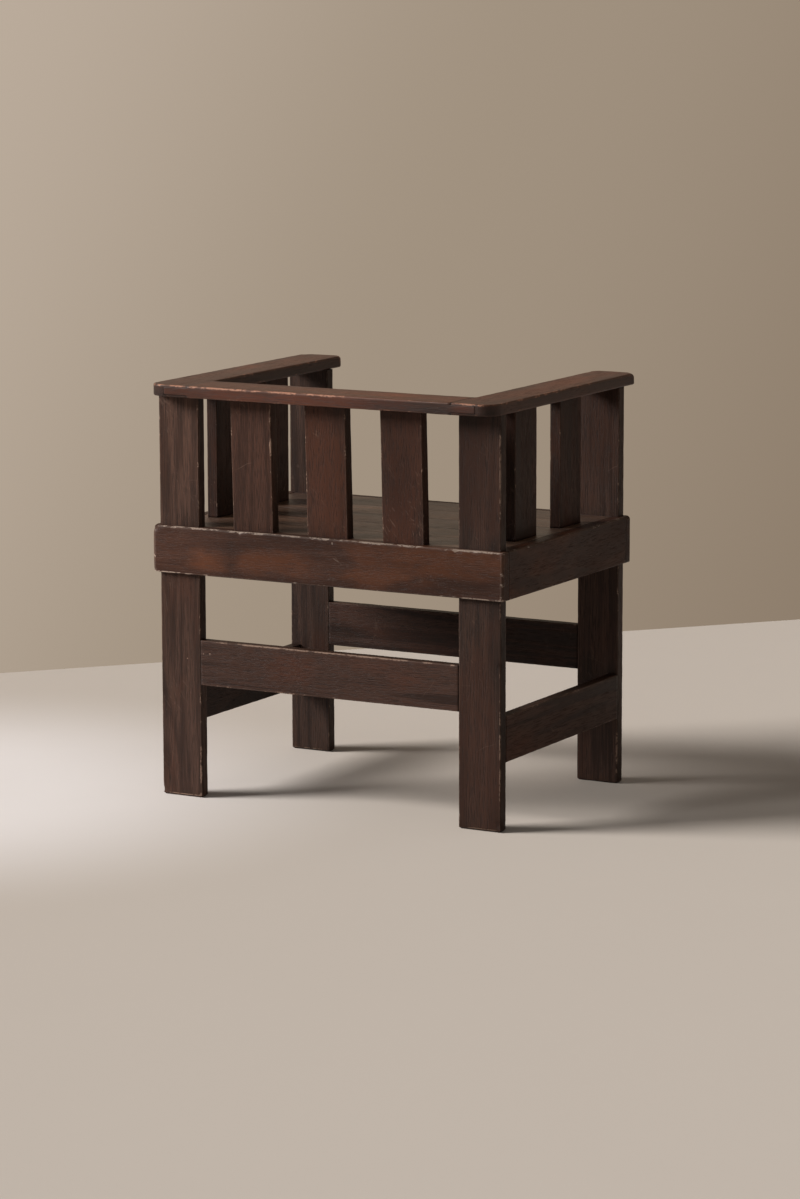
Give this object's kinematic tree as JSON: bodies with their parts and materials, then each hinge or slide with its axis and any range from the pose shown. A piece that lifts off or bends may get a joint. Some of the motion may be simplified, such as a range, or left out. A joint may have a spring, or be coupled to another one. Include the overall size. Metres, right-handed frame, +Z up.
{
  "type": "corner armchair",
  "caption": "Low wide wooden armchair with flat posts, slatted back and sides under a flat three-sided top rail, boarded seat and stretchers.",
  "frame": {"origin": "middle of the footprint's box, on the floor", "axes": "+Z up, the open front faces -Y and the back is at +Y, +X is the sitter's left"},
  "size_m": [0.631, 0.5006, 0.6685],
  "materials": {
    "oak_posts": "dark stained oak, rubbed and scuffed, low sheen",
    "oak_frame": "dark stained oak with reddish worn patches",
    "oak_stretchers": "dark stained oak, scuffed, low sheen",
    "oak_slats": "dark stained oak, reddish, fine scratches",
    "oak_rail": "dark stained oak, worn to a soft sheen by hands",
    "oak_seat": "dark stained oak, waxed, worn",
    "oak_cleats": "oak, thinly stained, unpolished"
  },
  "bodies": {
    "root": {"back_left_post": "oak_posts", "back_right_post": "oak_posts", "front_left_post": "oak_posts", "front_right_post": "oak_posts", "back_apron": "oak_frame", "front_apron": "oak_frame", "left_apron": "oak_frame", "right_apron": "oak_frame", "back_stretcher": "oak_stretchers", "front_stretcher": "oak_stretchers", "left_stretcher": "oak_stretchers", "right_stretcher": "oak_stretchers", "back_slat_1": "oak_slats", "back_slat_2": "oak_slats", "back_slat_3": "oak_slats", "left_slat_1": "oak_slats", "left_slat_2": "oak_slats", "right_slat_1": "oak_slats", "right_slat_2": "oak_slats", "back_rail": "oak_rail", "left_arm": "oak_rail", "right_arm": "oak_rail", "seat_board_1": "oak_seat", "seat_board_2": "oak_seat", "seat_board_3": "oak_seat", "seat_board_4": "oak_seat", "seat_board_5": "oak_seat", "back_cleat": "oak_cleats", "front_cleat": "oak_cleats", "left_cleat": "oak_cleats", "right_cleat": "oak_cleats", "seat_bearer": "oak_cleats"}
  },
  "joints": []
}
